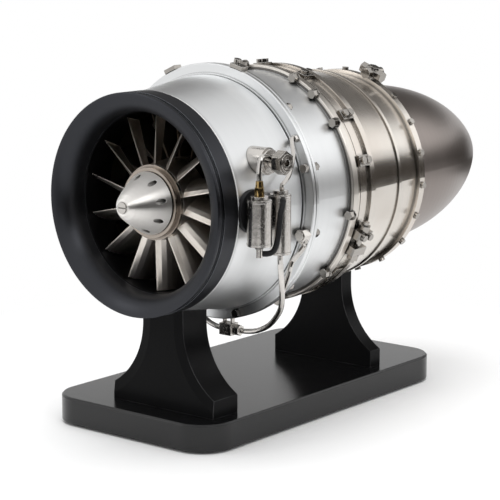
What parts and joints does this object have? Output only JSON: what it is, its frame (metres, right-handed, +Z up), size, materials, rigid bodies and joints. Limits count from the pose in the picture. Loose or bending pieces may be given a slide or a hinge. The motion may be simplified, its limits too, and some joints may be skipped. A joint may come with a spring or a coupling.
{
  "type": "turbine starter",
  "caption": "Small gas turbine starter engine on a black stand, with a rolled intake lip, spinning bladed fan, bolted flange, clamp band, fuel valves with pipes and a long tapering tail shell.",
  "frame": {"origin": "on the floor below the rotor axis, at mid length of the base plate", "axes": "+Z up, +Y along the rotor axis towards the tail, +X towards the fuel fittings"},
  "size_m": [0.2681, 0.5589, 0.3703],
  "materials": {
    "black_lacquer": "satin black lacquer",
    "black_rubber": "matt",
    "dark_anodised": "dark polished",
    "silver_aluminium": "turned",
    "steel": "satin",
    "warm_nickel": "polished, warm",
    "heat_tinted_steel": "satin, heat tinted",
    "brass": "satin"
  },
  "bodies": {
    "engine": {"base_plate": "black_lacquer", "rubber_feet": "black_rubber", "front_pedestal": "black_lacquer", "rear_pedestal": "black_lacquer", "intake_lip": "dark_anodised", "front_casing": "silver_aluminium", "mid_casing": "silver_aluminium", "flange_bolts": "steel", "mid_bolts": "steel", "clamp_band": "warm_nickel", "band_clamps": "steel", "band_latch": "steel", "band_strip": "warm_nickel", "hot_casing": "warm_nickel", "rear_casing": "warm_nickel", "rear_screws": "steel", "exhaust_shell": "heat_tinted_steel", "tail_cone": "heat_tinted_steel", "stator_ring": "silver_aluminium", "shaft_tunnel": "steel", "front_bearing": "steel", "rear_bearing": "steel", "nozzle_ring": "steel", "valve_pad": "black_rubber", "valve_bracket": "steel", "front_valve": "steel", "brass_collar": "brass", "elbow_tube": "steel", "rear_valve": "steel", "union_drum": "steel", "union_nut": "steel", "black_pipe": "black_rubber", "loop_stub": "steel", "fuel_pipe": "steel", "pipe_fitting": "steel", "pipe_tee": "steel", "cross_pipe": "steel", "thin_line": "steel", "top_bracket": "steel", "cross_fitting": "steel"},
    "rotor": {"fan": "steel", "hub_ring": "warm_nickel", "spinner": "silver_aluminium", "spinner_bolt": "steel", "main_shaft": "steel", "turbine_wheel": "heat_tinted_steel", "shaft_nut": "steel"}
  },
  "joints": [
    {"name": "rotor_spin", "type": "hinge", "parent": "engine", "child": "rotor", "pos_m": [0, 0, 0.236], "axis": [0, 1, 0], "continuous": true}
  ]
}
